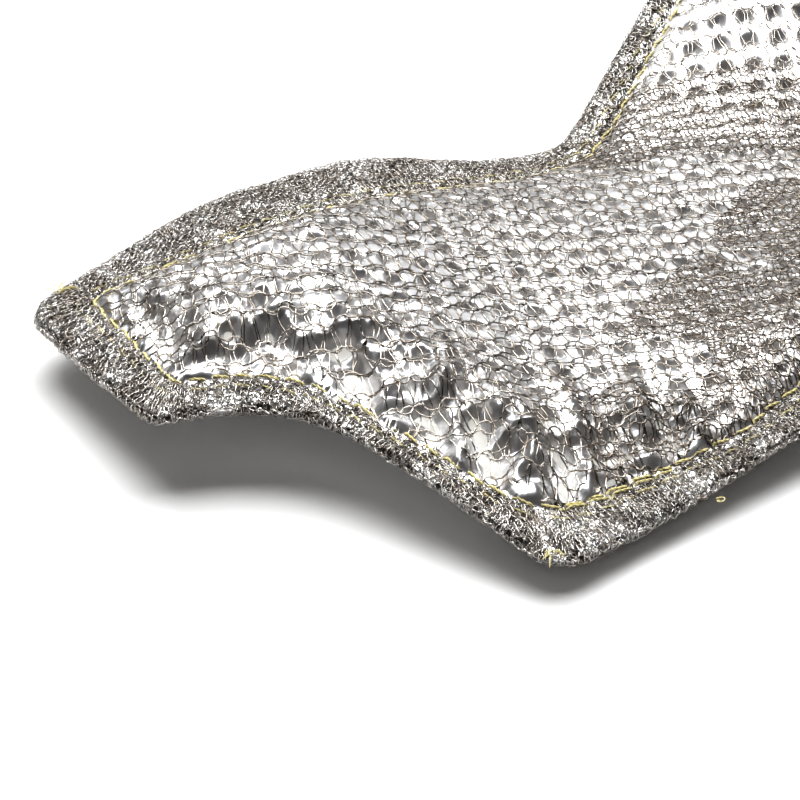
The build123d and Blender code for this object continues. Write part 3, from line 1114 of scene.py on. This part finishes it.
class HEATPAD_OT_thread_ends(bpy.types.Operator):
    """Frayed thread ends at the front corner and the tab, and one loose loop on the hem"""

    bl_idname = "heatpad.thread_ends"
    bl_label = "Thread ends"

    def tuft(self, place, turn, spread, length, count, seed):
        """Fibres in a fan from one point: direction turns with t, height falls with t squared."""
        rng = np.random.default_rng(seed)
        t = np.linspace(0, 1, 14)[None, :]
        heading = np.radians(turn + spread * rng.uniform(-1, 1, (count, 1)))
        heading = heading + rng.uniform(-1.1, 1.1, (count, 1)) * t
        long = length * rng.uniform(0.5, 1, (count, 1))
        start = np.array(place) + 0.35 * rng.uniform(-1, 1, (count, 2))
        x = start[:, :1] + long * np.cumsum(np.cos(heading), 1) / t.size
        y = start[:, 1:] + long * np.cumsum(np.sin(heading), 1) / t.size
        lift = rng.uniform(0.2, 1.5, (count, 1))
        ground = middle(x, y) + hem_sway(x, y) + hem_swell(start[:, :1], start[:, 1:])
        z = ground + 0.3 + lift * t * 1.6 - (lift + 0.5) * t**2
        path = np.stack([x, y, z], -1)
        normal = np.broadcast_to(np.array([0.0, 0.0, 1.0]), path.shape)
        return path, normal

    def execute(self, context):
        tufts = {
            "panel_thread_tails": ((-5.0, -80.6), -85, 60, 2.3, 7, ("panel",), 301),
            "tab_thread_tails": ((-73.6, -28.0), 75, 50, 3.5, 9, ("tab",), 311),
        }
        for name, (place, turn, spread, length, count, bodies, seed) in tufts.items():
            path, normal = self.tuft(place, turn, spread, length, count, seed)
            keep = np.ones(path.shape[:2], bool)
            radius = np.full(keep.shape, 0.08)
            title = f"{bodies[0]}_thread_ends"
            fibres = tubes(title, path, normal, radius, keep, 5, material("yellow_thread"))
            finish_piece(fibres, bodies, [name])
        t = np.linspace(-0.4, TURN * 0.92, 40)[None, :]
        x = 17.3 + 0.6 * np.sin(t) + 0.4 * t / TURN
        y = -69.2 + 0.5 * np.cos(t) - 0.7 * t / TURN
        z = middle(x, y) + hem_sway(x, y) + hem_swell(x, y) + 0.45 + 0.5 * np.sin(t / 2)
        path = np.stack([x, y, z], -1)
        normal = np.broadcast_to(np.array([0.0, 0.0, 1.0]), path.shape)
        keep = np.ones(path.shape[:2], bool)
        loop = tubes("loose_loop", path, normal, np.full(keep.shape, 0.09), keep, 6, material("yellow_thread"))
        finish_piece(loop, ("panel",))
        return {"FINISHED"}


class HEATPAD_OT_stage(bpy.types.Operator):
    """White table, soft light from above and behind, a dark front for contrast, and the camera"""

    bl_idname = "heatpad.stage"
    bl_label = "Stage"

    def world(self, scene):
        """Surroundings by direction: bright above and behind, dark and warm in front."""
        world = bpy.data.worlds.new("studio")
        scene.world = world
        world.use_nodes = True
        nodes, links = world.node_tree.nodes, world.node_tree.links
        sky = nodes["Background"]
        place = nodes.new("ShaderNodeTexCoord")
        turned = nodes.new("ShaderNodeVectorMath")
        turned.operation = "DOT_PRODUCT"
        turned.inputs[1].default_value = (-0.10, 0.55, 0.70)
        links.new(place.outputs["Generated"], turned.inputs[0])
        ramp = nodes.new("ShaderNodeValToRGB")
        stops = ramp.color_ramp
        stops.elements[0].position = 0.60
        stops.elements[0].color = (0.012, 0.008, 0.007, 1)
        stops.elements[1].position = 0.76
        stops.elements[1].color = (0.42, 0.425, 0.43, 1)
        links.new(turned.outputs["Value"], ramp.inputs["Fac"])
        seen = nodes.new("ShaderNodeLightPath")
        plain = nodes.new("ShaderNodeMix")
        plain.data_type = "RGBA"
        links.new(seen.outputs["Is Camera Ray"], plain.inputs["Factor"])
        colours = [s for s in plain.inputs if s.type == "RGBA"]
        links.new(ramp.outputs["Color"], colours[0])
        colours[1].default_value = (1, 1, 1, 1)
        links.new([s for s in plain.outputs if s.type == "RGBA"][0], sky.inputs["Color"])
        sky.inputs["Strength"].default_value = 1.0

    def lamp(self, name, place, aim, size, power):
        """A square soft light aimed at a point, in metres and watts."""
        data = bpy.data.lights.new(name, "AREA")
        data.shape = "RECTANGLE"
        data.size, data.size_y = size
        data.energy = power
        lamp = bpy.data.objects.new(name, data)
        lamp.location = place
        lamp.rotation_euler = (Vector(aim) - Vector(place)).to_track_quat("-Z", "Y").to_euler()
        bpy.context.scene.collection.objects.link(lamp)
        return lamp

    def camera(self, scene):
        """Camera in front and above, 36 degrees down, aimed left of the pad's middle."""
        aim = Vector((-24.0, -47.5, 5.0)) * MM
        tilt = np.radians(36)
        place = aim + 0.27 * Vector((0, -np.cos(tilt), np.sin(tilt)))
        data = bpy.data.cameras.new("view")
        data.sensor_width = 36
        data.lens = 36 * 1950 / 800
        data.clip_start = 0.01
        camera = bpy.data.objects.new("view", data)
        camera.location = place
        camera.rotation_euler = (aim - place).to_track_quat("-Z", "Y").to_euler()
        scene.collection.objects.link(camera)
        scene.camera = camera

    def execute(self, context):
        scene = context.scene
        scene.view_settings.view_transform = "Standard"
        scene.view_settings.gamma = 0.84
        side = np.linspace(-450, 450, 9)
        x, y = np.meshgrid(side, side, indexing="ij")
        index = np.arange(x.size).reshape(x.shape)
        cells = np.stack([index[:-1, :-1], index[1:, :-1], index[1:, 1:], index[:-1, 1:]], -1).reshape(-1, 4)
        points = np.stack([x.ravel(), y.ravel(), np.full(x.size, -0.02)], -1)
        floor = make_mesh("table", points, [cells], material("table_top"))
        self.world(scene)
        self.lamp("softbox", (-0.05, 0.21, 0.57), (-0.03, -0.02, 0), (0.60, 0.46), 7.2)
        fill = self.lamp("floor_fill", (-0.1, -0.55, 0.5), (0, -0.05, 0), (0.9, 0.6), 1.2)
        fill.visible_glossy = False
        self.camera(scene)
        return {"FINISHED"}


class HEATPAD_PT_panel(bpy.types.Panel):
    """Buttons for every group of pieces"""

    bl_label = "Heat shield pad"
    bl_idname = "HEATPAD_PT_panel"
    bl_space_type = "VIEW_3D"
    bl_region_type = "UI"
    bl_category = "Heat pad"

    def draw(self, context):
        for operator in OPERATORS:
            self.layout.operator(operator.bl_idname)
        for settings in (context.scene.heat_pad_sizes, context.scene.heat_pad_colours):
            for name in settings.__annotations__:
                self.layout.prop(settings, name)


OPERATORS = (
    HEATPAD_OT_foils,
    HEATPAD_OT_mats,
    HEATPAD_OT_wire_mesh,
    HEATPAD_OT_hem,
    HEATPAD_OT_binding,
    HEATPAD_OT_stitching,
    HEATPAD_OT_thread_ends,
    HEATPAD_OT_stage,
)
CLASSES = (HeatPadSizes, HeatPadColours, *OPERATORS, HEATPAD_PT_panel)


def register():
    for cls in CLASSES:
        bpy.utils.register_class(cls)
    bpy.types.Scene.heat_pad_sizes = bpy.props.PointerProperty(type=HeatPadSizes)
    bpy.types.Scene.heat_pad_colours = bpy.props.PointerProperty(type=HeatPadColours)


def unregister():
    del bpy.types.Scene.heat_pad_sizes
    del bpy.types.Scene.heat_pad_colours
    for cls in reversed(CLASSES):
        bpy.utils.unregister_class(cls)


def main():
    """Build every piece and the stage."""
    register()
    for operator in OPERATORS:
        group, name = operator.bl_idname.split(".")
        getattr(getattr(bpy.ops, group), name)()


if __name__ == "__main__":
    main()
